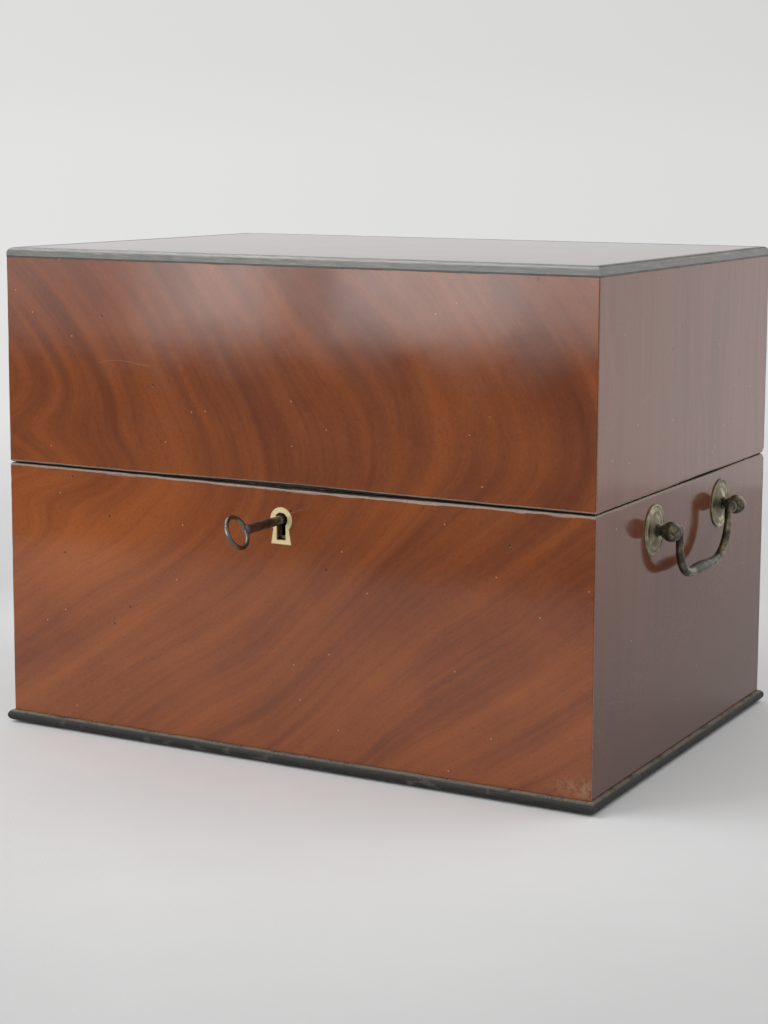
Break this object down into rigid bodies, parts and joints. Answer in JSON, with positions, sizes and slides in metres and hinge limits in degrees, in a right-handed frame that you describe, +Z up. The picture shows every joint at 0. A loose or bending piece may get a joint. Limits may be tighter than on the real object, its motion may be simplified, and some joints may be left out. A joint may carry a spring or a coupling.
{
  "type": "tea caddy",
  "caption": "Rectangular veneered tea caddy with a deep hinged lid, box lock with key, side carrying handles and lift-out canisters and bowl.",
  "frame": {"origin": "middle of the underside, on the baize pad's lower face", "axes": "+X along the width, the front with the keyhole faces -Y, +Z up"},
  "size_m": [0.3794, 0.3002, 0.2655],
  "materials": {
    "flame_mahogany": "French polished flame veneer",
    "solid_mahogany": "planed and waxed",
    "plain_mahogany": "planed and waxed",
    "ebony": "ebonised and polished",
    "bright_brass": "polished, lightly tarnished",
    "aged_brass": "dark tarnish",
    "dark_steel": "dark, worn",
    "baize": "wool baize",
    "velvet": "short pile",
    "tin": "dull tinned sheet",
    "bowl_glass": "clear"
  },
  "bodies": {
    "case": {"case_front": "solid_mahogany", "case_back": "solid_mahogany", "case_left": "solid_mahogany", "case_right": "solid_mahogany", "case_bottom": "plain_mahogany", "case_veneer_front": "flame_mahogany", "case_veneer_back": "flame_mahogany", "case_veneer_left": "flame_mahogany", "case_veneer_right": "flame_mahogany", "base_moulding_front": "ebony", "base_moulding_back": "ebony", "base_moulding_left": "ebony", "base_moulding_right": "ebony", "base_pad": "baize", "escutcheon": "bright_brass", "lock_plate": "bright_brass", "lock_cap": "aged_brass", "hinge_case_leaves": "bright_brass", "hinge_pins": "aged_brass", "case_screws": "aged_brass", "handle_roses": "aged_brass", "handle_posts": "aged_brass", "handle_nuts": "aged_brass", "partition_left": "plain_mahogany", "partition_right": "plain_mahogany", "fitted_deck": "solid_mahogany", "bay_pads": "velvet"},
    "lid": {"lid_front": "solid_mahogany", "lid_back": "solid_mahogany", "lid_left": "solid_mahogany", "lid_right": "solid_mahogany", "lid_top": "solid_mahogany", "lid_veneer_front": "flame_mahogany", "lid_veneer_back": "flame_mahogany", "lid_veneer_left": "flame_mahogany", "lid_veneer_right": "flame_mahogany", "lid_veneer_top": "flame_mahogany", "edge_strip_front": "ebony", "edge_strip_back": "ebony", "edge_strip_left": "ebony", "edge_strip_right": "ebony", "lid_lining": "velvet", "hinge_lid_leaves": "bright_brass", "link_plate": "bright_brass", "lid_screws": "aged_brass"},
    "bolt": {"lock_bolt": "dark_steel"},
    "key": {"key": "dark_steel"},
    "bail_right": {"bail_right": "aged_brass"},
    "bail_left": {"bail_left": "aged_brass"},
    "canister_left": {"canister_left_box": "plain_mahogany", "canister_left_liner": "tin"},
    "canister_left_cover": {"canister_left_lid": "plain_mahogany", "canister_left_knob": "ebony"},
    "canister_right": {"canister_right_box": "plain_mahogany", "canister_right_liner": "tin"},
    "canister_right_cover": {"canister_right_lid": "plain_mahogany", "canister_right_knob": "ebony"},
    "bowl": {"mixing_bowl": "bowl_glass"}
  },
  "joints": [
    {"name": "lid_hinge", "type": "hinge", "parent": "case", "child": "lid", "pos_m": [0, 0.12, 0.1473], "axis": [-1, 0, 0], "range_deg": [0, 94]},
    {"name": "key_turn", "type": "hinge", "parent": "case", "child": "key", "pos_m": [0, -0.123, 0.13], "axis": [0, -1, 0], "range_deg": [-25, 335]},
    {"name": "bolt_slide", "type": "slide", "parent": "case", "child": "bolt", "axis": [-1, 0, 0], "range_m": [-0.00042, 0.00558]},
    {"name": "bail_right_swing", "type": "hinge", "parent": "case", "child": "bail_right", "pos_m": [0.1845, 0.001, 0.1285], "axis": [0, -1, 0], "range_deg": [-12, 165]},
    {"name": "bail_left_swing", "type": "hinge", "parent": "case", "child": "bail_left", "pos_m": [-0.1845, 0.001, 0.1285], "axis": [0, 1, 0], "range_deg": [-12, 165]},
    {"name": "canister_left_lift", "type": "slide", "parent": "case", "child": "canister_left", "axis": [0, 0, 1], "range_m": [0, 0.078]},
    {"name": "canister_left_cover_lift", "type": "slide", "parent": "canister_left", "child": "canister_left_cover", "axis": [0, 0, 1], "range_m": [0, 0.078]},
    {"name": "canister_right_lift", "type": "slide", "parent": "case", "child": "canister_right", "axis": [0, 0, 1], "range_m": [0, 0.078]},
    {"name": "canister_right_cover_lift", "type": "slide", "parent": "canister_right", "child": "canister_right_cover", "axis": [0, 0, 1], "range_m": [0, 0.078]},
    {"name": "bowl_lift", "type": "slide", "parent": "case", "child": "bowl", "axis": [0, 0, 1], "range_m": [0, 0.12]}
  ],
  "couplings": [
    {"joint": "key_turn", "follows": "bolt_slide", "rad_per_m": 1047.2}
  ]
}
